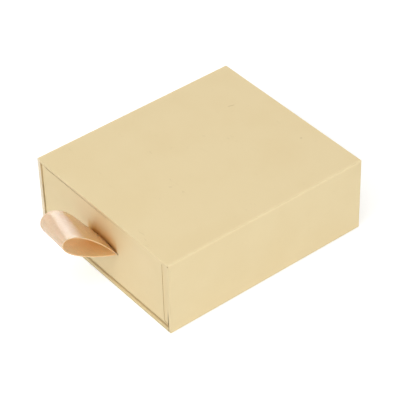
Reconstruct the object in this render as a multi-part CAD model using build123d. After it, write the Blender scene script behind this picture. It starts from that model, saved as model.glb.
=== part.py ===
from build123d import *
import math
import os

# Rigid drawer gift box: a paper-covered board sleeve, open at the front, and a
# paper-covered board tray that slides out of it by a folded satin ribbon.
# Millimetres. X is along the front, +Y runs from the mouth to the closed end, +Z is
# up. The origin is at the middle of the underside.

# Sleeve, outside sizes
sleeve_width = 100.0
sleeve_depth = 115.0
sleeve_height = 41.0

# Stock
sleeve_board = 1.5
tray_board = 1.5
wrap_paper = 0.2
lining_paper = 0.2
sheet_paper = 0.2

# Sleeve paper edges
mouth_turn_in = 15.0
base_sheet_inset = 2.5
back_sheet_inset = 3.0

# Running gaps between the tray and the sleeve
side_clearance = 0.3
top_clearance = 1.1
floor_clearance = 0.3
back_clearance = 0.5
front_recess = 0.6

# Tray paper edges
rim_turn_in = 3.0
flap_inset = 3.1
flap_mitre = 2.0

# Slit in the front, flat below and arched above, a little above the front's middle
slit_width = 21.9
slit_height = 1.2
slit_bow = 1.7
slit_rise = 1.1

# Ribbon
ribbon_width = 20.0
ribbon_side = 0.4
ribbon_thick = 0.35
ribbon_gap = 0.1
tail_length = 9.0
stem_out = 0.5
loop_reach = 32.8
loop_opening = 8.9
loop_point = 0.15
loop_lean = 36.7
loop_yaw = 5.4
loop_twist = 8.0
loop_dip = 4.3
dip_start = 10.0
dip_end = 110.0
loop_steps = 22
# The loop is this many times as open as the height of its curve on one side.
loop_fullness = 1.5396

# Paper over the ribbon's glued ends
patch_paper = 0.2
patch_margin = 4.0

# Levels of the sleeve, worked inwards from its outside
mouth = -sleeve_depth / 2
rear = sleeve_depth / 2
under = sheet_paper
sleeve_skin = max(wrap_paper, lining_paper)
board_out = wrap_paper
board_in = wrap_paper + sleeve_board

# Outside of the tray, from the space inside the sleeve
tray_half = sleeve_width / 2 - board_in - sleeve_skin - side_clearance
tray_low = under + board_in + sleeve_skin + floor_clearance
tray_high = sleeve_height - board_in - sleeve_skin - top_clearance
tray_front = mouth + front_recess
tray_rear = rear - board_in - lining_paper - back_clearance
slit_level = (tray_low + tray_high) / 2 + slit_rise

# Levels of the tray's front, from its face to the inside of its lining
front_wrap = tray_front + wrap_paper
front_board = front_wrap + wrap_paper
front_inside = front_board + tray_board
front_lined = front_inside + lining_paper


def block(x0, x1, y0, y1, z0, z1):
    size = Box(x1 - x0, y1 - y0, z1 - z0)
    return Pos((x0 + x1) / 2, (y0 + y1) / 2, (z0 + z1) / 2) * size


def sleeve_block(inset, y0, y1):
    half = sleeve_width / 2 - inset
    return block(-half, half, y0, y1, under + inset, sleeve_height - inset)


def save(shape, node):
    export_step(shape, "parts/" + node + ".step")


# ---- sleeve ----

def sleeve_boards():
    y0 = mouth + wrap_paper
    y1 = rear - wrap_paper
    half = sleeve_width / 2 - board_out
    inner = half - sleeve_board
    low = under + board_out
    high = sleeve_height - board_out
    low_in = low + sleeve_board
    high_in = high - sleeve_board
    save(block(-half, half, y0, y1, high_in, high), "sleeve_top_board")
    save(block(-half, half, y0, y1, low, low_in), "sleeve_bottom_board")
    save(block(-half, -inner, y0, y1, low_in, high_in), "sleeve_left_board")
    save(block(inner, half, y0, y1, low_in, high_in), "sleeve_right_board")
    save(block(-inner, inner, y1 - sleeve_board, y1, low_in, high_in), "sleeve_back_board")


def sleeve_wrap():
    lip = board_in + wrap_paper
    wrap = sleeve_block(0, mouth, rear)
    wrap -= sleeve_block(wrap_paper, mouth + wrap_paper, rear - wrap_paper)
    wrap -= sleeve_block(lip, mouth - wrap_paper, mouth + 2 * wrap_paper)
    wrap -= back_panel(rear + wrap_paper)
    turned = sleeve_block(board_in, mouth + wrap_paper, mouth + mouth_turn_in)
    turned -= sleeve_block(lip, mouth, mouth + 2 * mouth_turn_in)
    save(wrap + turned, "sleeve_wrap")


def back_panel(y1):
    half = sleeve_width / 2 - back_sheet_inset
    low = under + back_sheet_inset
    return block(-half, half, rear - wrap_paper, y1, low, sleeve_height - back_sheet_inset)


def sleeve_sheets():
    half = sleeve_width / 2 - base_sheet_inset
    y0 = mouth + base_sheet_inset
    save(block(-half, half, y0, rear - base_sheet_inset, 0, under), "sleeve_base_sheet")
    save(back_panel(rear), "sleeve_back_sheet")


def sleeve_lining():
    y0 = mouth + mouth_turn_in
    y1 = rear - board_in
    lining = sleeve_block(board_in, y0, y1)
    lining -= sleeve_block(board_in + lining_paper, y0 - 1, y1 - lining_paper)
    save(lining, "sleeve_lining")


# ---- tray ----

def slit(y0, y1):
    x0 = ribbon_side - slit_width / 2
    x1 = ribbon_side + slit_width / 2
    low = slit_level - slit_height / 2
    high = slit_level + slit_height / 2
    outline = Polyline((x0, high), (x0, low), (x1, low), (x1, high))
    outline += ThreePointArc((x1, high), (ribbon_side, high + slit_bow), (x0, high))
    face = Plane((0, y0, 0), x_dir=(1, 0, 0), z_dir=(0, -1, 0)) * make_face(outline)
    return extrude(face, -(y1 - y0))


def tray_boards():
    half = tray_half - wrap_paper
    inner = half - tray_board
    y1 = tray_rear - 2 * wrap_paper
    low = tray_low + wrap_paper
    floor = low + tray_board
    top = tray_high - wrap_paper
    front = block(-half, half, front_board, front_inside, floor, top)
    front -= slit(front_board - 1, front_inside + 1)
    rear_in = y1 - tray_board
    save(block(-half, half, front_board, y1, low, floor), "tray_base_board")
    save(front, "tray_front_board")
    save(block(-half, half, rear_in, y1, floor, top), "tray_back_board")
    save(block(-half, -inner, front_inside, rear_in, floor, top), "tray_left_board")
    save(block(inner, half, front_inside, rear_in, floor, top), "tray_right_board")


def tray_wrap():
    y0 = front_wrap
    y1 = tray_rear - wrap_paper
    half = tray_half
    core = half - wrap_paper
    edge = core - tray_board
    lip = edge - wrap_paper
    y0_edge = front_inside
    y1_edge = y1 - wrap_paper - tray_board
    rim = tray_high - wrap_paper
    turn = tray_high - rim_turn_in
    wrap = block(-half, half, y0, y1, tray_low, tray_high)
    low = tray_low + wrap_paper
    wrap -= block(-core, core, y0 + wrap_paper, y1 - wrap_paper, low, rim)
    hole_y0 = y0_edge + wrap_paper
    hole_y1 = y1_edge - wrap_paper
    wrap -= block(-lip, lip, hole_y0, hole_y1, turn, tray_high + 1)
    turned = block(-edge, edge, y0_edge, y1_edge, turn, rim)
    turned -= block(-lip, lip, hole_y0, hole_y1, turn - 1, tray_high)
    wrap += turned
    wrap -= slit(y0 - 1, y0 + wrap_paper + 0.5)
    save(wrap, "tray_wrap")


def flap(y0, y1):
    # Full width at the bottom fold, then cut back at an angle to clear the corner.
    wide = tray_half
    narrow = tray_half - flap_inset
    step = tray_low + flap_mitre
    right = [(wide, tray_low), (narrow, step), (narrow, tray_high)]
    left = [(-x, z) for x, z in reversed(right)]
    face = make_face(Polyline(*right, *left, close=True))
    face = Plane((0, y0, 0), x_dir=(1, 0, 0), z_dir=(0, -1, 0)) * face
    return extrude(face, -(y1 - y0))


def tray_flaps():
    front = flap(tray_front, front_wrap)
    front -= slit(tray_front - 1, front_wrap + 1)
    save(front, "tray_front_flap")
    save(flap(tray_rear - wrap_paper, tray_rear), "tray_back_flap")


def tray_linings():
    half = tray_half - wrap_paper - tray_board
    y0 = front_inside
    y1 = tray_rear - 2 * wrap_paper - tray_board
    floor = tray_low + wrap_paper + tray_board
    lined = floor + lining_paper
    top = tray_high - rim_turn_in
    t = lining_paper
    walls = block(-half, half, y0, y1, lined, top)
    walls -= block(t - half, half - t, y0 + t, y1 - t, floor, top + 1)
    walls -= slit(y0 - 1, y0 + t + 1)
    save(walls, "tray_wall_lining")
    save(block(-half, half, y0, y1, floor, lined), "tray_floor_lining")


# ---- ribbon ----

def dip(turn):
    # The upper layer's far edge dips between the slit and the loop's crest.
    if not dip_start < turn < dip_end:
        return 0.0
    share = (turn - dip_start) / (dip_end - dip_start)
    return math.radians(loop_dip) * math.sin(math.pi * share) ** 2


def loop_place(turn):
    # turn runs from 0 where the upper layer leaves the slit, through 180 at the far
    # end of the loop, to 360 where the lower layer comes back.
    a = math.radians(turn)
    part = math.sin(a / 2) ** 2
    along = loop_reach * part
    across = loop_opening / loop_fullness * math.sin(a) + loop_point * math.sin(3 * a)
    across *= math.sin(a / 2)
    lean = math.radians(loop_lean)
    out = along * math.cos(lean) - across * math.sin(lean)
    up = along * math.sin(lean) + across * math.cos(lean)
    up += (ribbon_thick + ribbon_gap) / 2 * math.cos(a / 2)
    swing = math.radians(loop_yaw)
    yaw = swing * math.sin(a / 2)
    tilt = math.radians(loop_twist) * math.sin(a) - dip(turn)
    side = Vector(
        math.cos(yaw) * math.cos(tilt), -math.sin(yaw) * math.cos(tilt), -math.sin(tilt)
    )
    near = Vector(
        ribbon_side + ribbon_width / 2 - out * math.sin(swing),
        tray_front - stem_out - out * math.cos(swing),
        slit_level + up,
    )
    return near - side * (ribbon_width / 2), side


def loop_section(turn):
    place, side = loop_place(turn)
    if turn == 0:
        ahead = Vector(0, -1, 0)
    elif turn == 360:
        ahead = Vector(0, 1, 0)
    else:
        ahead = loop_place(turn + 1)[0] - loop_place(turn - 1)[0]
        ahead -= side * ahead.dot(side)
    plane = Plane(place, x_dir=side, z_dir=ahead)
    return plane * Rectangle(ribbon_width, ribbon_thick)


def ribbon_pull():
    # Each layer runs through the slit and turns along the lining, one up, one down.
    left = ribbon_side - ribbon_width / 2
    right = ribbon_side + ribbon_width / 2
    y0 = tray_front - stem_out
    y1 = front_lined + ribbon_thick
    near = ribbon_gap / 2
    ribbon = loft([loop_section(360 * i / loop_steps) for i in range(loop_steps + 1)])
    for way in (1, -1):
        z0 = slit_level + way * near
        z1 = z0 + way * ribbon_thick
        ribbon += block(left, right, y0, y1, min(z0, z1), max(z0, z1))
        z2 = z0 + way * tail_length
        ribbon += block(left, right, front_lined, y1, min(z0, z2), max(z0, z2))
    save(ribbon, "ribbon_pull")


def ribbon_patch():
    left = ribbon_side - ribbon_width / 2
    right = ribbon_side + ribbon_width / 2
    reach = tail_length + ribbon_gap / 2
    y1 = front_lined + ribbon_thick
    m = patch_margin
    low = slit_level - reach
    high = slit_level + reach
    patch = block(left - m, right + m, front_lined, y1 + patch_paper, low - m, high + m)
    patch -= block(left, right, front_lined - 1, y1, low, high)
    save(patch, "ribbon_patch")


os.makedirs("parts", exist_ok=True)
sleeve_boards()
sleeve_wrap()
sleeve_sheets()
sleeve_lining()
tray_boards()
tray_wrap()
tray_flaps()
tray_linings()
ribbon_pull()
ribbon_patch()
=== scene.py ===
import math

import bmesh
import bpy
import numpy as np
from mathutils import Matrix, Vector


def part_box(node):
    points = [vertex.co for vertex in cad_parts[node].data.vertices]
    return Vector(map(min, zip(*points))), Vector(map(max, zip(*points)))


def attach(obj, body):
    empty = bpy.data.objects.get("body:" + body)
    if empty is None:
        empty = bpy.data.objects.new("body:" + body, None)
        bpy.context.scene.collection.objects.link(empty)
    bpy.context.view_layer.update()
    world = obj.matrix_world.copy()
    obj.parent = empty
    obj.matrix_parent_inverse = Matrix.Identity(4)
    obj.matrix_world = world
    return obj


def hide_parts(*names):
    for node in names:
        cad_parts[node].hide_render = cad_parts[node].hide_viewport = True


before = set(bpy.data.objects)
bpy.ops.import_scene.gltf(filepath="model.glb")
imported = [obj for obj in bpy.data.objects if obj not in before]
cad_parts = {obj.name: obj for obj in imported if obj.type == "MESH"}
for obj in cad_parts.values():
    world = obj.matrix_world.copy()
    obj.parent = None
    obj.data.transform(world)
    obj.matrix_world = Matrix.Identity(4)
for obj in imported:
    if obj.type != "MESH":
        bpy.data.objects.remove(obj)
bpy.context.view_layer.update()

# A drawer box of paper over board, with a ribbon to pull its tray out. The paper that is
# folded and the ribbon are modelled here, in place of the CAD's. The boards, the flat panels
# and the tray's floor stay the CAD's own. X is along the front, +Y from the mouth to the
# closed end, and +Z up.

MM = 0.001


# ---------------------------------------------------------------- sizes, in metres

PAPER = 0.2 * MM
BOARD = 1.5 * MM
WALL = PAPER + BOARD + PAPER
SECOND_LAYER = 0.9 * PAPER  # a paper glued over another is thinner, to stay clear of it
FOLD = 0.3 * MM             # radius of the paper where it folds over a board's edge,
UNDER_FOLD = 1.1 * MM       # where it curls under the tray
CORNER = 0.5 * MM           # and where the lining turns in the tray's corners
MOUTH_TURN_IN = 15.0 * MM
PANEL_PROUD = 0.1 * MM      # how far the back's panel stands out of the paper round it
LINING_PROUD = 0.07 * MM    # and a lining's cut edge out of the paper beside it
NEAR = 0.1 * MM             # a vertex this close to a side or a level lies on it
FACING = 0.9                # a face looks along an axis if its normal has this much of it

RIM_TURN_IN = 3.0 * MM
RIM_BAND = 1.0 * MM         # what moves with the top edge of the tray's front:
RIM_LIFT = 0.12 * MM        # all of it stands a little over the other walls,
RIM_RISE = 0.45 * MM        # and its right this much further,
RIM_LEFT = -12.0 * MM       # with a slope from here
RIM_RIGHT = 28.0 * MM       # to here
RIM_CUTS = 6                # in the mesh of the slope

SLIT_WIDTH = 21.9 * MM
SLIT_HEIGHT = 1.2 * MM
SLIT_BOW = 1.7 * MM         # how far its upper edge arches
SLIT_CUTS = 16              # in the mesh of this edge
SLIT_RISE = 1.1 * MM        # how far the slit lies above the front's middle
CUTTER_PAST = 2.0 * MM      # how far the slit's cutter goes past the front on both sides

FLAP_INSET = 3.1 * MM       # from the tray's sides to the sides of a flap,
FLAP_MITRE = 2.0 * MM       # which widens to the tray's width within this height
FLAP_TUCK = 1.0 * MM        # and runs on under the tray for this long
CURL_STEPS = 6

RIBBON_WIDTH = 20.0 * MM
RIBBON_SIDE = 0.4 * MM      # how far right of the middle it comes out
RIBBON_THICK = 0.35 * MM
RIBBON_GAP = 0.1 * MM
RIBBON_BEND = 0.32 * MM     # radius of its middle line where it turns to a glued end
RIBBON_COLUMNS = 24
TAIL_LENGTH = 9.0 * MM
STEM_OUT = 0.5 * MM         # how far it runs straight out of the slit
CROWN = 0.85 * MM           # how far its upper layer arches at the slit
CROWN_START = 1.0 * MM      # from the front to where this arch starts to sink
CROWN_END = 12.0 * MM       # and to where it is gone

# Its woven edges begin and are whole at these shares of its width from its middle line,
# and the cloth between them is thinner by this factor.
SELVEDGE_START = 0.455
SELVEDGE_WHOLE = 0.475
CLOTH_THIN = 0.8

LOOP_REACH = 32.8 * MM      # from its stem to the crest of its middle line
LOOP_OPENING = 8.9 * MM     # between its layers where it is widest
LOOP_POINT = 0.15 * MM      # what makes its curve less round
LOOP_LEAN = math.radians(36.7)  # how steeply it rises from the front
LOOP_YAW = math.radians(5.4)    # how far it swings to the left
LOOP_TWIST = math.radians(8.0)  # how far each layer turns out of level, one each way
LOOP_DIP = math.radians(4.3)    # how far the upper one's far edge dips, at the most,
DIP_START = math.radians(10)    # between this turn round the loop
DIP_END = math.radians(110)     # and this one
# The loop is this many times as open as the height of its curve on one side.
LOOP_FULLNESS = 1.5396

# Rows of the ribbon's mesh
TAIL_ROWS = 14
BEND_ROWS = 6
STEM_ROWS = 8
LOOP_ROWS = 160

PATCH_SQUARE = 0.5 * MM     # the squares of the patch's mesh
PATCH_SLOPE = 0.8 * MM      # from the edge of the ribbon under it to the flat wall

wrap_low, wrap_high = (Vector(v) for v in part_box("sleeve_wrap"))
tray_low, tray_high = (Vector(v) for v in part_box("tray_wrap"))
lining_low, lining_high = (Vector(v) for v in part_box("sleeve_lining"))
walls_low, walls_high = (Vector(v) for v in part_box("tray_wall_lining"))
flap_low, flap_high = (Vector(v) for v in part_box("tray_front_flap"))
rear_low, rear_high = (Vector(v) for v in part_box("tray_back_flap"))
patch_low, patch_high = (Vector(v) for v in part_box("ribbon_patch"))
back_low, back_high = (Vector(v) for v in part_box("sleeve_back_sheet"))
_, base_high = (Vector(v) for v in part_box("sleeve_base_sheet"))

SLIT_LEVEL = (tray_low.z + tray_high.z) / 2 + SLIT_RISE
FACE = flap_low.y           # the tray's front, outside
LINED = patch_low.y         # and inside
MOUTH = wrap_low.y          # the sleeve's open end,
INNER = wrap_high.x - WALL  # and behind it the side wall,
SILL = wrap_low.z + WALL    # the floor
ROOF = wrap_high.z - WALL   # and the roof


# ---------------------------------------------------------------- modelling helpers

SHARP = 0.6                 # a fold bends by more than this, in radians


def ease(value, low, high):
    """0 up to low, 1 from high on, and a smooth rise between them."""
    t = min(max((value - low) / (high - low), 0.0), 1.0)
    return t * t * (3 - 2 * t)


def only(piece):
    """Selects one piece alone and makes it the active one."""
    bpy.ops.object.select_all(action="DESELECT")
    piece.select_set(True)
    bpy.context.view_layer.objects.active = piece


def add_box(name, low, high):
    """A box primitive between two corners, with its place in its mesh."""
    low, high = Vector(low), Vector(high)
    bpy.ops.object.select_all(action="DESELECT")
    bpy.ops.mesh.primitive_cube_add(size=1, location=(low + high) / 2, scale=high - low)
    piece = bpy.context.object
    piece.name = piece.data.name = name
    bpy.ops.object.transform_apply(location=True, rotation=True, scale=True)
    return piece


def edit(piece):
    """Starts to edit a piece's mesh, with nothing selected."""
    only(piece)
    bpy.ops.object.mode_set(mode="EDIT")
    bpy.ops.mesh.select_all(action="DESELECT")


def leave():
    """Ends the editing of a mesh."""
    bpy.ops.object.mode_set(mode="OBJECT")


def pick(piece, kind, test):
    """Selects the faces, or the edges, of the piece being edited that pass the test."""
    bpy.ops.mesh.select_mode(type=kind)
    bpy.ops.mesh.select_all(action="DESELECT")
    mesh = bmesh.from_edit_mesh(piece.data)
    parts = mesh.faces if kind == "FACE" else mesh.edges
    for part in parts:
        part.select_set(bool(test(part)))
    bmesh.update_edit_mesh(piece.data)


def drop_faces(piece, test):
    """Deletes the faces of the piece being edited that pass the test."""
    pick(piece, "FACE", test)
    bpy.ops.mesh.delete(type="FACE")


def push(offset):
    """Extrudes what is selected by an offset."""
    bpy.ops.mesh.extrude_region_move(TRANSFORM_OT_translate={"value": offset})


def slice_at(place, normal):
    """Adds edges round the piece being edited where a plane passes through it."""
    bpy.ops.mesh.select_all(action="SELECT")
    bpy.ops.mesh.bisect(plane_co=place, plane_no=normal)


def move_vertices(piece, move):
    """Lets move change each vertex's place in the piece being edited, and ends the editing."""
    mesh = bmesh.from_edit_mesh(piece.data)
    for vert in mesh.verts:
        move(vert.co)
    bmesh.update_edit_mesh(piece.data)
    leave()


def on_side(point, low, high, axes):
    """Whether a point lies on one of a box's sides across the axes, given by number."""
    return any(point[i] < low[i] + NEAR or point[i] > high[i] - NEAR for i in axes)


def round_edges(piece, test, radius, segments=3):
    """Rounds the folds of the piece being edited whose two ends pass the test."""
    def sharp(edge):
        bent = len(edge.link_faces) == 2 and edge.calc_face_angle(0) > SHARP
        return bent and test(edge.verts[0].co, edge.verts[1].co)

    pick(piece, "EDGE", sharp)
    bpy.ops.mesh.bevel(offset=radius, segments=segments, profile=0.5, affect="EDGES")


def modify(piece, kind, **values):
    """Adds a modifier with its settings to a piece, and applies it."""
    only(piece)
    modifier = piece.modifiers.new(kind.lower(), kind)
    for key, value in values.items():
        setattr(modifier, key, value)
    bpy.ops.object.modifier_apply(modifier=modifier.name)


def thicken(piece, thickness, rim=0):
    """Gives a sheet its thickness, inwards. Rim is the material slot of its cut edges."""
    while len(piece.data.materials) <= rim:
        piece.data.materials.append(None)
    modify(
        piece, "SOLIDIFY", thickness=thickness, offset=-1.0, use_even_offset=True,
        material_offset_rim=rim,
    )


def cut_with(piece, cutter):
    """Takes the cutter's volume out of a piece."""
    modify(piece, "BOOLEAN", object=cutter, operation="DIFFERENCE", solver="EXACT")


def smooth(piece, degrees=40):
    """Shades a piece smooth, apart from edges that bend by more than this."""
    only(piece)
    bpy.ops.object.shade_smooth_by_angle(angle=math.radians(degrees))
    modify(piece, "WEIGHTED_NORMAL", keep_sharp=True, weight=50)


def finish_piece(piece, body, finishes, node):
    """Gives a piece its materials in slot order and its body, and hides the CAD node it stands
    for.
    """
    # Clearing the list puts every face in its first slot, so the slots are put back.
    slots = [polygon.material_index for polygon in piece.data.polygons]
    piece.data.materials.clear()
    for finish in finishes:
        piece.data.materials.append(finish)
    piece.data.polygons.foreach_set("material_index", slots)
    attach(piece, body)
    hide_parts(node)


# ---------------------------------------------------------------- material helpers

def linear(r, g, b):
    """A colour given as 0 to 255 on screen, as the shader needs it."""
    parts = [v / 255 for v in (r, g, b)]
    parts = [v / 12.92 if v <= 0.04045 else ((v + 0.055) / 1.055) ** 2.4 for v in parts]
    return (*parts, 1.0)


# A noise texture's values seldom leave this range.
NOISE_LOW = 0.3
NOISE_HIGH = 0.7


class Graph:
    """Short ways to add and join the nodes of one material or group."""

    def __init__(self, tree):
        self.tree = tree

    def node(self, kind, **values):
        """A new node with its settings."""
        made = self.tree.nodes.new(kind)
        for key, value in values.items():
            setattr(made, key, value)
        return made

    def feed(self, socket, value):
        """Links a socket to another node's output, or sets it to a constant."""
        if isinstance(value, bpy.types.NodeSocket):
            self.tree.links.new(value, socket)
        else:
            socket.default_value = value

    def feed_named(self, made, values):
        """Feeds the inputs of a node that are given by name."""
        for label, value in values.items():
            self.feed(made.inputs[label], value)

    def fed(self, made, *values):
        """The same node, with its inputs fed in their order."""
        for socket, value in zip(made.inputs, values):
            self.feed(socket, value)
        return made

    def math(self, operation, *values):
        """A math node's result."""
        return self.fed(self.node("ShaderNodeMath", operation=operation), *values).outputs[0]

    def vector(self, operation, *values):
        """A vector math node's result, which is a single value for LENGTH."""
        made = self.fed(self.node("ShaderNodeVectorMath", operation=operation), *values)
        return made.outputs["Value" if operation == "LENGTH" else "Vector"]

    def split(self, vector):
        """A vector's three parts."""
        return tuple(self.fed(self.node("ShaderNodeSeparateXYZ"), vector).outputs)

    def join(self, *values):
        """A vector from its first parts."""
        return self.fed(self.node("ShaderNodeCombineXYZ"), *values).outputs[0]

    def placed(self, vector, values):
        """A vector after the moves, turns and scales of a mapping node."""
        made = self.node("ShaderNodeMapping")
        self.feed_named(made, {"Vector": vector, **values})
        return made.outputs[0]

    def span(self, value, low, high, to_low=0.0, to_high=1.0):
        """A smooth change from to_low to to_high as the value goes from low to high."""
        made = self.node("ShaderNodeMapRange", interpolation_type="SMOOTHSTEP")
        return self.fed(made, value, low, high, to_low, to_high).outputs[0]

    def fade(self, value, low, high):
        """A mask that is 1 up to low and 0 from high on."""
        return self.span(value, low, high, 1.0, 0.0)

    def spread(self, noise, low=0.0, high=1.0):
        """Noise spread from low to high."""
        return self.span(noise, NOISE_LOW, NOISE_HIGH, low, high)

    def chain(self, operation, values):
        """Values joined by one operation, from the first on."""
        whole = values[0]
        for value in values[1:]:
            whole = self.math(operation, whole, value)
        return whole

    def both(self, *masks):
        """The product of masks."""
        return self.chain("MULTIPLY", masks)

    def most(self, *masks):
        """The largest of masks."""
        return self.chain("MAXIMUM", masks)

    def away(self, value, level):
        """How far a value is from a level, either way."""
        return self.math("ABSOLUTE", self.math("SUBTRACT", value, level))

    def noise(self, vector, scale, detail=2.0, roughness=0.5, distortion=0.0):
        """A noise texture's value."""
        made = self.node("ShaderNodeTexNoise")
        self.feed_named(made, {
            "Vector": vector, "Scale": scale, "Detail": detail, "Roughness": roughness,
            "Distortion": distortion,
        })
        return made.outputs["Fac"]

    def mix(self, amount, first, second):
        """The first colour, and the second where the amount is 1."""
        made = self.node("ShaderNodeMix", data_type="RGBA")
        self.feed(made.inputs["Factor"], amount)
        sockets = [s for s in made.inputs if s.type == "RGBA"]
        self.feed(sockets[0], first)
        self.feed(sockets[1], second)
        return [s for s in made.outputs if s.type == "RGBA"][0]

    def stain(self, colour, tone, *masks):
        """A colour with a tone, given as 0 to 255 on screen, over it where the masks are 1."""
        return self.mix(self.both(*masks), colour, linear(*tone))

    def bump(self, height, strength, distance):
        """A normal that follows a height, with a distance in metres."""
        made = self.node("ShaderNodeBump")
        self.feed_named(made, {"Strength": strength, "Distance": distance, "Height": height})
        return made.outputs["Normal"]


def new_group(name, inputs, outputs):
    """An empty shader group. Inputs are (name, kind, default), outputs the names of values."""
    tree = bpy.data.node_groups.new(name, "ShaderNodeTree")
    for label, kind, default in inputs:
        socket = tree.interface.new_socket(label, in_out="INPUT", socket_type=kind)
        if default is not None:
            socket.default_value = default
    for label in outputs:
        tree.interface.new_socket(label, in_out="OUTPUT", socket_type="NodeSocketFloat")
    graph = Graph(tree)
    return tree, graph, graph.node("NodeGroupInput"), graph.node("NodeGroupOutput")


def place_group(graph, tree, **values):
    """A shared effect in a material, as its outputs by name."""
    made = graph.node("ShaderNodeGroup", node_tree=tree)
    graph.feed_named(made, values)
    return made.outputs


def new_material(name):
    """A new material, with its graph, its shader and its coordinates."""
    material = bpy.data.materials.new(name)
    material.use_nodes = True
    graph = Graph(material.node_tree)
    shader = material.node_tree.nodes["Principled BSDF"]
    coords = graph.node("ShaderNodeTexCoord")
    return material, graph, shader, coords


# ---------------------------------------------------------------- shared effects

# The fibres of the pulp lie in three layers: each layer's direction in radians and offset,
# and how fine the pattern is along a fibre and across it.
FIBRE_LAYERS = ((0.35, 0.0), (-0.9, 3.1), (1.9, 7.7))
FIBRE_STRETCH = (110.0, 1500.0, 1200.0)

# Threads across the ribbon's width, and picks in a length as long as it is wide.
THREADS = 130
PICKS = 95


def make_fibre_group():
    """Cloudy tone, short raised fibres and fine tooth, as in a pulped paper."""
    tree, g, given, made = new_group(
        "paper_fibres",
        [("Vector", "NodeSocketVector", None), ("Size", "NodeSocketFloat", 1.0)],
        ["Cloud", "Fibre", "Tooth"],
    )
    at = g.vector("SCALE", given.outputs["Vector"])
    g.feed(at.node.inputs["Scale"], given.outputs["Size"])
    strokes = []
    for turn, seed in FIBRE_LAYERS:
        laid = g.placed(at, {
            "Rotation": (0.2, 0.1, turn), "Location": (seed, seed, seed),
            "Scale": FIBRE_STRETCH,
        })
        line = g.fade(g.away(g.noise(laid, 1.0, 0.0), 0.5), 0.004, 0.02)
        where = g.placed(at, {"Location": (seed * 2, -seed, seed)})
        sparse = g.span(g.noise(where, 130.0, 2.0), 0.66, 0.72)
        strokes.append(g.both(line, sparse))
    g.feed_named(made, {
        "Cloud": g.noise(at, 38.0, 3.0, 0.55),
        "Fibre": g.most(*strokes),
        "Tooth": g.noise(at, 2600.0, 3.0, 0.6),
    })
    return tree


def make_fold_group():
    """Masks along a box's folded edges: Rub along all twelve, broken up as rubbing is, and a
    painted highlight along the long top folds.
    """
    tree, g, given, made = new_group(
        "fold_rub_and_highlight",
        [("Vector", "NodeSocketVector", None), ("Centre", "NodeSocketVector", (0, 0, 0)),
         ("Half", "NodeSocketVector", (1, 1, 1)), ("Width", "NodeSocketFloat", 1 * MM)],
        ["Rub", "PaintedHighlight"],
    )
    half, width = given.outputs["Half"], given.outputs["Width"]
    offset = g.vector("SUBTRACT", given.outputs["Vector"], given.outputs["Centre"])
    x, y, z = g.split(g.vector("SUBTRACT", half, g.vector("ABSOLUTE", offset)))
    # The middle one of the three distances to a side is small only beside an edge.
    low = g.math("MINIMUM", x, y)
    high = g.math("MAXIMUM", x, y)
    middle = g.math("MAXIMUM", low, g.math("MINIMUM", high, z))
    ragged = g.noise(given.outputs["Vector"], 260.0, 4.0, 0.6)
    reach = g.math("MULTIPLY", width, g.span(ragged, 0.35, 0.75, 0.25, 1.2))
    # The long top folds get a painted highlight over a wider band.
    below_top = g.split(g.vector("SUBTRACT", half, offset))[2]
    band = g.math("MULTIPLY", width, 4.0)
    g.feed_named(made, {
        "Rub": g.fade(middle, 0.0, reach),
        "PaintedHighlight": g.fade(g.math("MAXIMUM", x, below_top), 0.0, band),
    })
    return tree


def make_weave_group():
    """Satin weave in a ribbon's own UV: fine lengthwise floats, weft and selvedges."""
    tree, g, given, made = new_group(
        "satin_weave",
        [("Vector", "NodeSocketVector", None)],
        ["Floats", "Weft", "Selvedge", "Streak", "Ripple"],
    )
    across, along, _ = g.split(given.outputs["Vector"])

    def wave(value, count):
        turns = g.math("MULTIPLY", value, 2 * math.pi * count)
        return g.math("MULTIPLY_ADD", g.math("SINE", turns), 0.5, 0.5)

    def stretched(over, down):
        return g.join(g.math("MULTIPLY", across, over), g.math("MULTIPLY", along, down))

    g.feed_named(made, {
        "Floats": wave(across, THREADS),
        "Weft": wave(along, PICKS),
        "Selvedge": g.span(g.away(across, 0.5), 0.472, 0.482),
        "Streak": g.noise(stretched(90.0, 7.0), 1.0, 3.0, 0.6),
        "Ripple": g.noise(stretched(2.6, 4.0), 1.0, 2.0, 0.5, 0.4),
    })
    return tree


FIBRES = make_fibre_group()
FOLDS = make_fold_group()
WEAVE = make_weave_group()


# ---------------------------------------------------------------- materials

BLUR = 0.3 * MM             # the soft limit of the painted shade on the walls inside the mouth

# Fibres that show on the top: their two ends, width in metres and depth of colour.
STRAY_FIBRES = (
    ((-22.9 * MM, 36.0 * MM), (-21.7 * MM, 39.9 * MM), 0.30 * MM, 0.45),
    ((18.6 * MM, 46.6 * MM), (19.3 * MM, 47.4 * MM), 0.35 * MM, 0.6),
    ((7.0 * MM, -23.6 * MM), (8.2 * MM, -22.2 * MM), 0.30 * MM, 0.3),
    ((-12.8 * MM, 12.3 * MM), (-11.6 * MM, 13.3 * MM), 0.25 * MM, 0.25),
)


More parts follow.
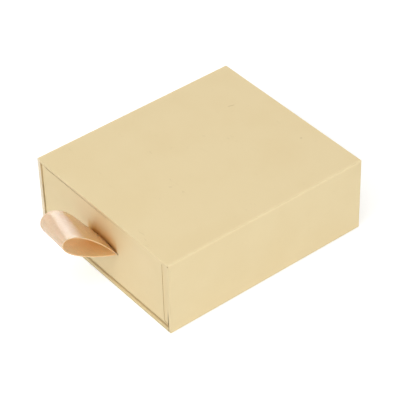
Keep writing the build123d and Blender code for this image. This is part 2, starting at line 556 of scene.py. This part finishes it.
def pearl_paper(name, low, high, marks):
    """Cream wrapping paper with a pearl coat, rubbed where it folds over the box from low to
    high, with a painted highlight along its long top folds. Marks adds what only one piece
    shows, its marks and painted shade: it takes and gives back the colour.
    """
    material, g, shader, coords = new_material(name)
    at = coords.outputs["Object"]
    paper = place_group(g, FIBRES, Vector=at, Size=1.0)
    middle = tuple((Vector(low) + Vector(high)) / 2)
    half = tuple((Vector(high) - Vector(low)) / 2)
    fold = place_group(g, FOLDS, Vector=at, Centre=middle, Half=half, Width=0.5 * MM)
    cloud = g.span(paper["Cloud"], 0.35, 0.68)
    colour = g.stain(linear(231, 210, 165), (227, 204, 156), cloud, 0.4)
    colour = g.stain(colour, (196, 172, 126), paper["Fibre"], 0.25)
    # A painted highlight along the long top folds.
    colour = g.stain(colour, (246, 226, 182), fold["PaintedHighlight"], 0.3)
    colour = g.stain(colour, (250, 240, 214), fold["Rub"], 0.08)
    height = g.math("MULTIPLY_ADD", paper["Fibre"], 0.6, paper["Tooth"])
    height = g.math("MULTIPLY_ADD", paper["Cloud"], 5.0, height)
    g.feed_named(shader, {
        "Base Color": marks(g, at, colour),
        "Roughness": g.spread(paper["Tooth"], 0.5, 0.62),
        "Metallic": 0.1,
        "Specular IOR Level": 0.3,
        "Normal": g.bump(height, 0.25, 0.04 * MM),
    })
    return material


def gap_wall_shade(g, at, colour, ragged):
    """Painted shade on the walls just inside the mouth, in the gap round the tray: less on the
    floor and towards the roof.
    """
    x, y, z = g.split(at)
    inside = g.both(
        g.fade(g.math("ABSOLUTE", x), INNER, INNER + BLUR),
        g.span(z, SILL - BLUR, SILL),
        g.fade(z, ROOF, ROOF + BLUR),
        g.span(y, MOUTH + 0.05 * MM, MOUTH + 0.4 * MM),
        g.span(y, MOUTH + 1 * MM, MOUTH + 8 * MM, 1.0, 0.2),
        g.span(z, SILL, SILL + 1 * MM, 0.35, 1.0),
        g.span(z, 22 * MM, 36 * MM, 1.0, 0.3),
    )
    # Painted shade in the gap round the tray.
    return g.stain(colour, (172, 152, 116), inside, ragged, 0.75)


def lip_marks_and_shade(g, at, colour, ragged):
    """The lip round the mouth: painted shade on its bottom, where it meets the floor, pale
    where its left fold is rubbed, and painted shade along the left of its inner top edge and
    low on its right, for the gaps round the tray.
    """
    x, y, z = g.split(at)
    lip = g.fade(y, MOUTH + 0.15 * MM, MOUTH + 0.35 * MM)
    # Painted shade on the bottom of the lip, where it meets the floor.
    below = g.fade(z, SILL - 0.3 * MM, SILL + 0.1 * MM)
    colour = g.stain(colour, (194, 176, 128), lip, below, ragged, 0.6)
    left = g.fade(x, -INNER - 0.1 * MM, -INNER + 0.2 * MM)
    colour = g.stain(colour, (242, 230, 214), lip, left, ragged, 0.7)

    # Painted shade along the inner top edge, for the gap under the roof, strongest on the left
    # and gone towards the right.
    lift = g.span(x, -40 * MM, -5 * MM, 0.0, 0.45 * MM)
    level = g.math("ADD", lift, ROOF + 0.35 * MM)
    edge = g.both(
        g.fade(g.away(z, level), 0.1 * MM, 0.55 * MM),
        g.fade(g.math("ABSOLUTE", x), INNER - 0.2 * MM, INNER + 0.2 * MM),
        g.fade(x, 0, 24 * MM),
    )
    colour = g.stain(colour, (170, 146, 100), lip, edge, 0.33)
    # Painted shade low on the right, for the gap beside the tray.
    gap_shade = g.both(
        g.fade(g.away(x, INNER + 0.45 * MM), 0.25 * MM, 0.5 * MM),
        g.fade(z, 6 * MM, 15 * MM),
        g.span(z, 1.5 * MM, 5 * MM, 0.45, 1.0),
    )
    return g.stain(colour, (100, 74, 36), lip, gap_shade, 0.95)


def corner_marks_and_shade(g, at, colour):
    """Painted shade on the upright fold at the mouth's right, so it does not stand out lighter,
    and a nick at its top.
    """
    x, y, _ = g.split(at)
    corner = g.most(g.math("SUBTRACT", wrap_high.x, x), g.math("SUBTRACT", y, MOUTH))
    corner = g.fade(corner, 0.2 * MM, 0.8 * MM)
    # Painted shade along the upright fold.
    colour = g.stain(colour, (206, 184, 142), corner, 0.32)
    nick = g.vector("SUBTRACT", at, (wrap_high.x - 0.35 * MM, MOUTH, wrap_high.z - 0.8 * MM))
    nick = g.fade(g.vector("LENGTH", nick), 0.2 * MM, 0.6 * MM)
    return g.stain(colour, (140, 112, 64), nick, 0.7)


def panel_lines(g, at, colour):
    """A hair of shadow and glue round the panels on the back and underneath."""
    x, y, z = g.split(at)
    side = g.math("ABSOLUTE", x)
    rear = rim_line(g, (side, back_high.x), (z, back_low.z), (z, back_high.z))
    rear = g.both(rear, g.span(y, wrap_high.y - 0.4 * MM, wrap_high.y - 0.3 * MM))
    base = rim_line(g, (side, base_high.x), (g.math("ABSOLUTE", y), base_high.y))
    base = g.both(base, g.fade(z, 0.25 * MM, 0.3 * MM))
    return g.stain(colour, (186, 162, 116), g.most(rear, base), 0.7)


def rim_line(g, *sides):
    """A fine line where a coordinate passes a level. Sides are (coordinate, level)."""
    return g.most(*(
        g.fade(g.away(value, level), 0.05 * MM, 0.3 * MM) for value, level in sides
    ))


def stray_fibre(g, at, colour, near, far, width, depth):
    """A short dark fibre lying in the top between two points."""
    x, y, z = g.split(at)
    middle = (Vector(near) + Vector(far)) / 2
    way = (Vector(far) - Vector(near)) / 2
    reach = way.length
    way.normalize()
    from_x = g.math("SUBTRACT", x, middle.x)
    from_y = g.math("SUBTRACT", y, middle.y)
    along = g.math("MULTIPLY_ADD", from_x, way.x, g.math("MULTIPLY", from_y, way.y))
    across = g.math("MULTIPLY_ADD", from_x, -way.y, g.math("MULTIPLY", from_y, way.x))
    mask = g.both(
        g.fade(g.math("ABSOLUTE", along), reach * 0.6, reach),
        g.fade(g.math("ABSOLUTE", across), 0.0, width),
        g.span(z, wrap_high.z - 0.1 * MM, wrap_high.z - 0.05 * MM),
    )
    return g.stain(colour, (150, 118, 66), mask, depth)


def sleeve_marks_and_shade(g, at, colour):
    """What shows on the sleeve alone: marks of use, painted shade in the gaps round the tray
    and on the mouth's edges, the panels' edges and stray fibres.
    """
    ragged = g.spread(g.noise(at, 420.0, 3.0, 0.6), 0.6, 1.0)
    colour = gap_wall_shade(g, at, colour, ragged)
    colour = lip_marks_and_shade(g, at, colour, ragged)
    colour = corner_marks_and_shade(g, at, colour)
    colour = panel_lines(g, at, colour)
    for fibre in STRAY_FIBRES:
        colour = stray_fibre(g, at, colour, *fibre)
    return colour


def tray_painted_shade(g, at, colour):
    """Painted shade and a warm painted reflection of the ribbon on the paper over the slit,
    darkest at its cut edge, and painted shade along the bottom fold.
    """
    x, y, z = g.split(at)
    away = g.math("SUBTRACT", x, RIBBON_SIDE)
    half = SLIT_WIDTH / 2
    top = SLIT_LEVEL + SLIT_HEIGHT / 2 + SLIT_BOW
    arch = g.math("MULTIPLY", g.math("MULTIPLY", away, away), SLIT_BOW / half ** 2)
    over = g.math("ADD", g.math("SUBTRACT", z, top), arch)
    ragged = g.spread(g.noise(at, 300.0, 3.0, 0.6), 0.75, 1.0)
    outside = g.fade(y, FACE + 1 * MM, FACE + 1.4 * MM)
    near = g.both(
        g.span(away, -half - 2.4 * MM, -half + 0.5 * MM),
        g.fade(away, half - 2 * MM, half),
        outside,
        g.span(over, -1 * MM, -0.4 * MM),
        ragged,
    )
    # A wide warm painted shade and reflection of the ribbon over the slit, and a darker painted
    # shade close to its cut edge.
    leftward = g.span(away, -half, 0.0, 1.0, 0.6)
    wide = g.fade(over, 1.5 * MM, 9 * MM)
    colour = g.stain(colour, (214, 166, 72), near, wide, leftward)
    close = g.fade(over, 0.0, 3.4 * MM)
    colour = g.stain(colour, (168, 106, 14), near, close, 0.85)

    # Painted shade on the bottom fold, where it runs over the sleeve's floor.
    bottom = g.fade(z, tray_low.z + 0.8 * MM, tray_low.z + 1.9 * MM)
    return g.stain(colour, (186, 162, 112), bottom, outside, ragged, 0.35)


def raw_edge(name):
    """The cut edge of the wrapping paper: its uncoated core, a little brown with glue, and
    darker as painted shade along the step it makes.
    """
    material, g, shader, coords = new_material(name)
    paper = place_group(g, FIBRES, Vector=coords.outputs["Object"], Size=2.0)
    colour = g.stain(linear(196, 170, 128), (174, 146, 102), paper["Cloud"])
    g.feed_named(shader, {
        "Base Color": g.stain(colour, (222, 200, 160), paper["Fibre"], 0.5),
        "Roughness": g.spread(paper["Tooth"], 0.8, 0.95),
        "Normal": g.bump(paper["Tooth"], 0.4, 0.03 * MM),
    })
    return material


def plain_paper(name):
    """Uncoated lining paper."""
    material, g, shader, coords = new_material(name)
    paper = place_group(g, FIBRES, Vector=coords.outputs["Object"], Size=1.3)
    cloud = g.span(paper["Cloud"], 0.35, 0.7)
    colour = g.stain(linear(236, 222, 190), (228, 210, 172), cloud, 0.5)
    height = g.math("MULTIPLY_ADD", paper["Fibre"], 0.8, paper["Tooth"])
    g.feed_named(shader, {
        "Base Color": g.stain(colour, (214, 194, 155), paper["Fibre"], 0.4),
        "Roughness": g.spread(paper["Tooth"], 0.66, 0.8),
        "Specular IOR Level": 0.3,
        "Normal": g.bump(height, 0.35, 0.05 * MM),
    })
    return material


def grey_board(name):
    """Recycled board: grey-brown with dark and pale flecks."""
    material, g, shader, coords = new_material(name)
    at = coords.outputs["Object"]
    paper = place_group(g, FIBRES, Vector=at, Size=1.8)
    fleck = g.span(g.noise(at, 900.0, 3.0, 0.7), 0.56, 0.66)
    colour = g.stain(linear(176, 154, 118), (152, 130, 96), paper["Cloud"])
    colour = g.stain(colour, (110, 102, 90), fleck, 0.5)
    g.feed_named(shader, {
        "Base Color": g.stain(colour, (200, 192, 174), paper["Fibre"], 0.6),
        "Roughness": g.spread(paper["Tooth"], 0.8, 0.95),
        "Normal": g.bump(paper["Tooth"], 0.6, 0.1 * MM),
    })
    return material


def satin(name, light, deep, edge, gloss, sheen, shade=None):
    """Peach satin: silky along its length, with matt selvedges. Colours are given as 0 to 255
    on screen: light and deep streaks, the edge and a painted shade over one side of its width.
    """
    material, g, shader, coords = new_material(name)
    cloth = place_group(g, WEAVE, Vector=coords.outputs["UV"])
    colour = g.stain(linear(*light), deep, g.spread(cloth["Streak"]))
    colour = g.stain(colour, (246, 214, 182), cloth["Floats"], cloth["Weft"], 0.2)
    colour = g.stain(colour, edge, cloth["Selvedge"], 0.6)
    # A painted shade over one side of the width, deeper inside the loop.
    if shade:
        across = g.split(coords.outputs["UV"])[0]
        colour = g.stain(colour, shade, g.span(across, 0.75, 0.2, 0.0, 0.9))
    rough = g.spread(cloth["Streak"], 0.13, 0.18)
    tangent = g.node("ShaderNodeTangent", direction_type="UV_MAP", uv_map="cloth")
    height = g.math("MULTIPLY_ADD", cloth["Weft"], 0.6, cloth["Floats"])
    height = g.math("MULTIPLY_ADD", cloth["Streak"], 1.2, height)
    height = g.math("MULTIPLY_ADD", cloth["Ripple"], 30.0, height)
    g.feed_named(shader, {
        "Base Color": colour,
        "Roughness": g.math("MULTIPLY_ADD", cloth["Selvedge"], 0.3, rough),
        "IOR": gloss,
        "Anisotropic": 0.6,
        "Subsurface Weight": 0.7,
        "Subsurface Radius": (1.0, 0.5, 0.3),
        "Subsurface Scale": 4 * MM,
        "Sheen Weight": sheen,
        "Sheen Roughness": 0.4,
        "Sheen Tint": (1.0, 0.9, 0.84, 1.0),
        "Specular Tint": (0.87, 0.94, 1.0, 1.0),
        "Tangent": tangent.outputs[0],
        "Normal": g.bump(height, 0.3, 0.04 * MM),
    })
    return material


sleeve_finish = pearl_paper("sleeve_pearl_paper", wrap_low, wrap_high, sleeve_marks_and_shade)
tray_finish = pearl_paper("tray_pearl_paper", tray_low, tray_high, tray_painted_shade)
cut_edge = raw_edge("paper_cut_edge")
lining_finish = plain_paper("lining_paper")
board_finish = grey_board("greyboard")
satin_face = satin(
    "satin_face", light=(232, 173, 116), deep=(222, 159, 101), edge=(224, 164, 112),
    gloss=2.9, sheen=0.1,
)
# The back is the satin's own duller side, and its colours are lighter than the face's as
# painted light for what passes through the thin cloth into the loop.
satin_back = satin(
    "satin_back", light=(255, 198, 150), deep=(255, 186, 134), edge=(246, 184, 132),
    gloss=1.9, sheen=0.35, shade=(252, 168, 114),
)


# ---------------------------------------------------------------- papers of both bodies

def faces_mouth(face):
    """Whether a face looks out of the sleeve's mouth."""
    return face.normal.y < -FACING


def make_lining(name, low, high, is_open, radius, segments, cutter, body, node):
    """A paper lining: a box without the sides that are open, with its cut edges in view."""
    piece = add_box(name, low, high)
    edit(piece)
    drop_faces(piece, is_open)
    round_edges(piece, lambda a, b: True, radius, segments)
    bpy.ops.mesh.select_all(action="SELECT")
    bpy.ops.mesh.flip_normals()
    leave()
    thicken(piece, PAPER, rim=1)
    if cutter:
        cut_with(piece, cutter)
    smooth(piece)
    finish_piece(piece, body, [lining_finish, cut_edge], node)


# ---------------------------------------------------------------- sleeve

def make_sleeve_paper():
    """The outer paper: over the box, round the mouth's edge and turned in."""
    low = wrap_low
    high = wrap_high - Vector((0, PANEL_PROUD, 0))
    piece = add_box("sleeve_paper", low, high)
    edit(piece)
    pick(piece, "FACE", faces_mouth)
    bpy.ops.mesh.inset(thickness=WALL)
    push((0, MOUTH_TURN_IN, 0))
    bpy.ops.mesh.delete(type="FACE")

    def outer(a, b):
        at_mouth = max(a.y, b.y) < low.y + NEAR
        return at_mouth or all(on_side(v, low, high, (0, 2)) for v in (a, b))

    round_edges(piece, outer, FOLD)
    leave()
    thicken(piece, PAPER)
    smooth(piece)
    finish_piece(piece, "sleeve", [sleeve_finish], "sleeve_wrap")


def make_sleeve_lining():
    """The lining: a paper cup behind the turned-in edge."""
    low = lining_low + Vector((1, 0, 1)) * (PAPER + LINING_PROUD)
    high = lining_high - Vector((1, 1, 1)) * (PAPER + LINING_PROUD)
    make_lining(
        "sleeve_lining_paper", low, high, is_open=faces_mouth, radius=FOLD, segments=2,
        cutter=None, body="sleeve", node="sleeve_lining",
    )


# ---------------------------------------------------------------- tray

def raise_rim(piece):
    """Lets the front's top edge stand a little higher towards the right, as it was glued."""
    def lift(place):
        if place.y < LINED and place.z > tray_high.z - RIM_BAND:
            place.z += RIM_LIFT + RIM_RISE * ease(place.x, RIM_LEFT, RIM_RIGHT)

    edit(piece)
    for x in np.linspace(RIM_LEFT, RIM_RIGHT, RIM_CUTS):
        slice_at((x, 0, 0), (1, 0, 0))
    move_vertices(piece, lift)


def make_slit_cutter():
    """A bar with the slit's outline: flat below, arched above."""
    half = SLIT_WIDTH / 2
    radius = (half ** 2 + SLIT_BOW ** 2) / (2 * SLIT_BOW)

    def arch(place):
        if place.z > SLIT_LEVEL:
            away = place.x - RIBBON_SIDE
            place.z += math.sqrt(radius ** 2 - away ** 2) - radius + SLIT_BOW

    low = (RIBBON_SIDE - half, FACE - CUTTER_PAST, SLIT_LEVEL - SLIT_HEIGHT / 2)
    high = (RIBBON_SIDE + half, LINED + CUTTER_PAST, SLIT_LEVEL + SLIT_HEIGHT / 2)
    cutter = add_box("slit_cutter", low, high)
    edit(cutter)
    for x in np.linspace(-half, half, SLIT_CUTS + 2)[1:-1]:
        slice_at((RIBBON_SIDE + x, 0, 0), (1, 0, 0))
    move_vertices(cutter, arch)
    return cutter


def make_tray_paper(cutter):
    """The tray's outer paper: under, up the sides, over the rim and turned in."""
    piece = add_box("tray_paper", tray_low, tray_high)
    edit(piece)
    pick(piece, "FACE", lambda f: f.normal.z > FACING)
    bpy.ops.mesh.inset(thickness=WALL)
    push((0, 0, -RIM_TURN_IN))
    bpy.ops.mesh.delete(type="FACE")

    def under(a, b):
        return max(a.z, b.z) < tray_low.z + NEAR

    def outer(a, b):
        at_rim = min(a.z, b.z) > tray_high.z - NEAR
        return at_rim or all(on_side(v, tray_low, tray_high, (0, 1)) for v in (a, b))

    round_edges(piece, under, UNDER_FOLD, segments=5)
    round_edges(piece, outer, FOLD)
    leave()
    thicken(piece, PAPER)
    cut_with(piece, cutter)
    raise_rim(piece)
    smooth(piece)
    finish_piece(piece, "tray", [tray_finish], "tray_wrap")


def make_flap(name, y_out, y_in, cutter, node):
    """The front or back panel: mitred at the bottom fold and curled under the tray."""
    out = 1.0 if y_out > y_in else -1.0
    low = Vector((flap_low.x, min(y_out, y_in), flap_low.z))
    high = Vector((flap_high.x, max(y_out, y_in), flap_high.z))
    curl_top = low.z + UNDER_FOLD
    mitre_top = low.z + FLAP_MITRE

    def narrow(place):
        if place.z > mitre_top - NEAR:
            place.x -= math.copysign(FLAP_INSET, place.x)

    piece = add_box(name, low, high)
    edit(piece)
    drop_faces(piece, lambda f: f.normal.y * out < FACING)
    for height in (curl_top, mitre_top):
        slice_at((0, 0, height), (0, 0, 1))
    drop_faces(piece, lambda f: f.calc_center_median().z < curl_top)
    pick(piece, "EDGE", lambda e: max(v.co.z for v in e.verts) < curl_top + NEAR)
    angles = np.linspace(0, math.pi / 2, CURL_STEPS + 1)
    for a, b in zip(angles, angles[1:]):
        inward = UNDER_FOLD * (math.cos(a) - math.cos(b))
        push((0, -out * inward, UNDER_FOLD * (math.sin(a) - math.sin(b))))
    push((0, -out * FLAP_TUCK, 0))
    move_vertices(piece, narrow)
    thicken(piece, SECOND_LAYER, rim=1)
    if cutter:
        cut_with(piece, cutter)
        raise_rim(piece)
    smooth(piece)
    finish_piece(piece, "tray", [tray_finish, cut_edge], node)


def make_wall_lining(cutter):
    """The paper round the inside of the walls, its top edge just below the rim."""
    inset = Vector((1, 1, 0)) * (PAPER + LINING_PROUD)
    make_lining(
        "tray_wall_paper", walls_low + inset, walls_high - inset,
        is_open=lambda f: abs(f.normal.z) > FACING, radius=CORNER, segments=3,
        cutter=cutter, body="tray", node="tray_wall_lining",
    )


def make_patch():
    """The paper glued over the ribbon's ends: it stands up where they lie under it."""
    width = patch_high.x - patch_low.x
    height = patch_high.z - patch_low.z
    half = RIBBON_WIDTH / 2
    reach = TAIL_LENGTH + RIBBON_GAP / 2

    def press(place):
        over = 1 - ease(abs(place.x - RIBBON_SIDE), half, half + PATCH_SLOPE)
        over *= 1 - ease(abs(place.z - SLIT_LEVEL), reach, reach + PATCH_SLOPE)
        place.y = LINED + LINING_PROUD + PAPER + over * (RIBBON_THICK - LINING_PROUD)

    bpy.ops.object.select_all(action="DESELECT")
    bpy.ops.mesh.primitive_grid_add(
        x_subdivisions=round(width / PATCH_SQUARE), y_subdivisions=round(height / PATCH_SQUARE),
        size=1, location=(RIBBON_SIDE, LINED, (patch_low.z + patch_high.z) / 2),
        rotation=(-math.pi / 2, 0, 0),
    )
    piece = bpy.context.object
    piece.name = piece.data.name = "ribbon_patch_paper"
    piece.scale = (width, height, 1)
    bpy.ops.object.transform_apply(location=True, rotation=True, scale=True)
    edit(piece)
    move_vertices(piece, press)
    thicken(piece, SECOND_LAYER, rim=1)
    smooth(piece, degrees=60)
    finish_piece(piece, "tray", [lining_finish, cut_edge], "ribbon_patch")


# ---------------------------------------------------------------- ribbon

def dip(turn):
    """How far the upper layer's far edge dips between the slit and the loop's crest."""
    if not DIP_START < turn < DIP_END:
        return 0.0
    share = (turn - DIP_START) / (DIP_END - DIP_START)
    return LOOP_DIP * math.sin(math.pi * share) ** 2


def loop_place(turn):
    """Centre and width direction of the loop. Turn runs from 0 to 2 pi round it."""
    part = math.sin(turn / 2) ** 2
    along = LOOP_REACH * part
    across = LOOP_OPENING / LOOP_FULLNESS * math.sin(turn) + LOOP_POINT * math.sin(3 * turn)
    across *= math.sin(turn / 2)
    out = along * math.cos(LOOP_LEAN) - across * math.sin(LOOP_LEAN)
    up = along * math.sin(LOOP_LEAN) + across * math.cos(LOOP_LEAN)
    up += (RIBBON_THICK + RIBBON_GAP) / 2 * math.cos(turn / 2)
    yaw = LOOP_YAW * math.sin(turn / 2)
    tilt = LOOP_TWIST * math.sin(turn) - dip(turn)
    side = Vector(
        (math.cos(yaw) * math.cos(tilt), -math.sin(yaw) * math.cos(tilt), -math.sin(tilt))
    )
    near = Vector((
        RIBBON_SIDE + RIBBON_WIDTH / 2 - out * math.sin(LOOP_YAW),
        FACE - STEM_OUT - out * math.cos(LOOP_YAW),
        SLIT_LEVEL + up,
    ))
    return near - side * (RIBBON_WIDTH / 2), side


def ribbon_line():
    """The ribbon's whole length: glued end, slit, loop, slit, glued end."""
    level = (RIBBON_GAP + RIBBON_THICK) / 2
    inside = LINED + RIBBON_THICK / 2
    across = Vector((1, 0, 0))
    first = []
    for z in np.linspace(TAIL_LENGTH, level + RIBBON_BEND, TAIL_ROWS):
        first.append((Vector((RIBBON_SIDE, inside, SLIT_LEVEL + z)), across))
    for angle in np.linspace(0, math.pi / 2, BEND_ROWS)[1:-1]:
        y = inside - RIBBON_BEND * (1 - math.cos(angle))
        z = level + RIBBON_BEND * (1 - math.sin(angle))
        first.append((Vector((RIBBON_SIDE, y, SLIT_LEVEL + z)), across))
    for y in np.linspace(inside - RIBBON_BEND, FACE - STEM_OUT, STEM_ROWS):
        first.append((Vector((RIBBON_SIDE, y, SLIT_LEVEL + level)), across))
    loop = [loop_place(turn) for turn in np.linspace(0, 2 * math.pi, LOOP_ROWS + 1)[1:-1]]
    last = []
    for place, side in reversed(first):
        last.append((Vector((RIBBON_SIDE, place.y, 2 * SLIT_LEVEL - place.z)), side))
    return first + loop + last


def crown(place):
    """How much of its arch the upper layer has at a place: all of it at the front's face."""
    inward = 1 - ease(place.y, FACE, LINED)
    return inward * (1 - ease(FACE - place.y, CROWN_START, CROWN_END))


def ribbon_rows(line):
    """The ribbon's surface row by row: its points, their places in the cloth, its length."""
    points, marks = [], []
    length = 0.0
    for row, (place, side) in enumerate(line):
        before = line[max(row - 1, 0)][0]
        after = line[min(row + 1, len(line) - 1)][0]
        length += (place - before).length
        outward = (after - before).cross(side).normalized()
        height = CROWN * crown(place) if row < len(line) / 2 else 0.0
        for column in range(RIBBON_COLUMNS + 1):
            share = column / RIBBON_COLUMNS
            arch = height * (1 - (2 * share - 1) ** 2)
            points.append(place + side * RIBBON_WIDTH * (share - 0.5) + outward * arch)
            marks.append((share, length / RIBBON_WIDTH))
    return points, marks, length


def make_ribbon():
    """The folded ribbon, from its surface, with its woven edges thicker than its cloth."""
    line = ribbon_line()
    points, marks, length = ribbon_rows(line)
    width = RIBBON_COLUMNS + 1
    faces = []
    for row in range(len(line) - 1):
        for column in range(RIBBON_COLUMNS):
            a = row * width + column
            faces.append((a, a + 1, a + width + 1, a + width))
    mesh = bpy.data.meshes.new("ribbon")
    mesh.from_pydata(points, [], faces)
    layer = mesh.uv_layers.new(name="cloth")
    for loop in mesh.loops:
        layer.data[loop.index].uv = marks[loop.vertex_index]
    mesh.materials.append(satin_back)
    mesh.materials.append(satin_face)
    piece = bpy.data.objects.new("ribbon", mesh)
    bpy.context.collection.objects.link(piece)
    thick = piece.vertex_groups.new(name="selvedge")
    for index, (share, _) in enumerate(marks):
        edge = ease(abs(share - 0.5), SELVEDGE_START, SELVEDGE_WHOLE)
        thick.add([index], edge, "REPLACE")
    modify(
        piece, "SOLIDIFY", thickness=RIBBON_THICK, offset=0.0,
        vertex_group="selvedge", thickness_vertex_group=CLOTH_THIN, material_offset=1,
    )
    only(piece)
    bpy.ops.object.shade_smooth_by_angle(angle=math.radians(60))
    finish_piece(piece, "tray", [satin_back, satin_face], "ribbon_pull")


# ---------------------------------------------------------------- the whole box

def dress_nodes():
    """Gives each CAD node that stays in view its material."""
    for name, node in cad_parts.items():
        if name.endswith("_board"):
            finish = board_finish
        elif name == "tray_floor_lining":
            finish = lining_finish
        else:
            finish = sleeve_finish
        node.data.materials.clear()
        node.data.materials.append(finish)


slit_cutter = make_slit_cutter()
make_sleeve_paper()
make_sleeve_lining()
make_tray_paper(slit_cutter)
make_flap("front_flap_paper", FACE, FACE + PAPER, slit_cutter, "tray_front_flap")
make_flap("back_flap_paper", rear_high.y, rear_low.y, None, "tray_back_flap")
make_wall_lining(slit_cutter)
make_patch()
make_ribbon()
bpy.data.objects.remove(slit_cutter)
dress_nodes()


# ---------------------------------------------------------------- floor, light, camera

FLOOR_SIZE = 6.0
FLOOR_GAP = 0.1 * MM        # the floor lies this far under the box
FLOOR_GLOW = 0.46           # what it needs of its own to be white in the picture
ROOM_LIGHT = 0.2            # what reaches the box from all round

COOL = (0.95, 1.0, 1.06)
WARM = (1.0, 0.995, 0.945)
BLUE = (0.96, 0.96, 1.25)
LAMP_AIM = Vector((0, 0, 20 * MM))  # the point that every lamp faces
# Name, bearing and height in degrees, distance, width and height, watts and colour.
# Bearings go from the box's right side towards its back.
LAMPS = (
    ("front_lamp", -92, 13, 1.2, (0.9, 0.5), 1.18, COOL),
    ("high_front_lamp", -92, 35, 1.2, (0.9, 0.5), 3.07, COOL),
    ("corner_lamp", -45, 16, 1.2, (0.9, 0.5), 2.15, COOL),
    ("side_lamp", 0, 13, 1.2, (0.9, 0.5), 5.41, COOL),
    ("top_lamp", -60, 65, 1.2, (0.8, 0.8), 5.5, WARM),
    ("back_lamp", 137.5, 25.5, 2.0, (1.46, 2.1), 14.8, WARM),
    ("left_lamp", 190, 22, 1.6, (1.4, 1.0), 0.9, BLUE),
)

# The camera that fits the photograph: the angles it looks from, its place from the box's
# origin along its own three axes, in metres, and its lens and sensor in millimetres.
CAMERA_ROUND = math.radians(52.442)
CAMERA_UPWARD = math.radians(39.816)
CAMERA_ROLL = math.radians(-1.776)
CAMERA_BACK = 0.891625
CAMERA_RIGHT = -0.000043
CAMERA_RAISED = 0.012315
CAMERA_LENS = 166.231
CAMERA_SENSOR = 36
CAMERA_CLIP = 50 * MM


def background_ray(graph):
    """1 on rays that the camera sees directly or in gloss and glass."""
    path = graph.node("ShaderNodeLightPath").outputs
    return graph.most(path["Is Camera Ray"], path["Is Glossy Ray"], path["Is Transmission Ray"])


def make_floor():
    """A white floor without an edge in view."""
    bpy.ops.object.select_all(action="DESELECT")
    bpy.ops.mesh.primitive_plane_add(size=FLOOR_SIZE, location=(0, 0, -FLOOR_GAP))
    floor = bpy.context.object
    floor.name = "floor"
    material, g, shader, _ = new_material("floor_white")
    g.feed_named(shader, {
        "Base Color": (0.8, 0.8, 0.8, 1),
        "Roughness": 0.9,
        "Specular IOR Level": 0.0,
        "Emission Color": (1, 1, 1, 1),
        "Emission Strength": g.math("MULTIPLY", background_ray(g), FLOOR_GLOW),
    })
    floor.data.materials.append(material)


def make_world():
    """A white background that lights the box only a little."""
    world = bpy.data.worlds.new("studio")
    world.use_nodes = True
    bpy.context.scene.world = world
    g = Graph(world.node_tree)
    g.feed_named(world.node_tree.nodes["Background"], {
        "Color": (1, 1, 1, 1),
        "Strength": g.math("MAXIMUM", background_ray(g), ROOM_LIGHT),
    })


def add_lamp(name, bearing, height, away, size, energy, colour):
    """A soft rectangular lamp that faces the box."""
    bearing, height = math.radians(bearing), math.radians(height)
    level = math.cos(height)
    place = Vector((math.cos(bearing) * level, math.sin(bearing) * level, math.sin(height)))
    place *= away
    data = bpy.data.lights.new(name, "AREA")
    data.shape = "RECTANGLE"
    data.size, data.size_y = size
    data.energy = energy
    data.color = colour
    lamp = bpy.data.objects.new(name, data)
    lamp.location = place
    lamp.rotation_euler = (LAMP_AIM - place).to_track_quat("-Z", "Y").to_euler()
    bpy.context.collection.objects.link(lamp)


def make_camera():
    """The photograph's view: from the right front and above, through a long lens."""
    back = Vector((
        math.sin(CAMERA_ROUND) * math.cos(CAMERA_UPWARD),
        -math.cos(CAMERA_ROUND) * math.cos(CAMERA_UPWARD),
        math.sin(CAMERA_UPWARD),
    ))
    right = Vector((math.cos(CAMERA_ROUND), math.sin(CAMERA_ROUND), 0))
    up = back.cross(right)
    place = back * CAMERA_BACK + right * CAMERA_RIGHT + up * CAMERA_RAISED
    rolled_right = right * math.cos(CAMERA_ROLL) + up * math.sin(CAMERA_ROLL)
    rolled_up = up * math.cos(CAMERA_ROLL) - right * math.sin(CAMERA_ROLL)
    data = bpy.data.cameras.new("camera")
    data.sensor_width = CAMERA_SENSOR
    data.lens = CAMERA_LENS
    data.clip_start = CAMERA_CLIP
    camera = bpy.data.objects.new("camera", data)
    turn = Matrix((rolled_right, rolled_up, back)).transposed().to_4x4()
    camera.matrix_world = Matrix.Translation(place) @ turn
    bpy.context.collection.objects.link(camera)
    bpy.context.scene.camera = camera


make_floor()
make_world()
for lamp in LAMPS:
    add_lamp(*lamp)
make_camera()
bpy.context.scene.view_settings.view_transform = "Standard"
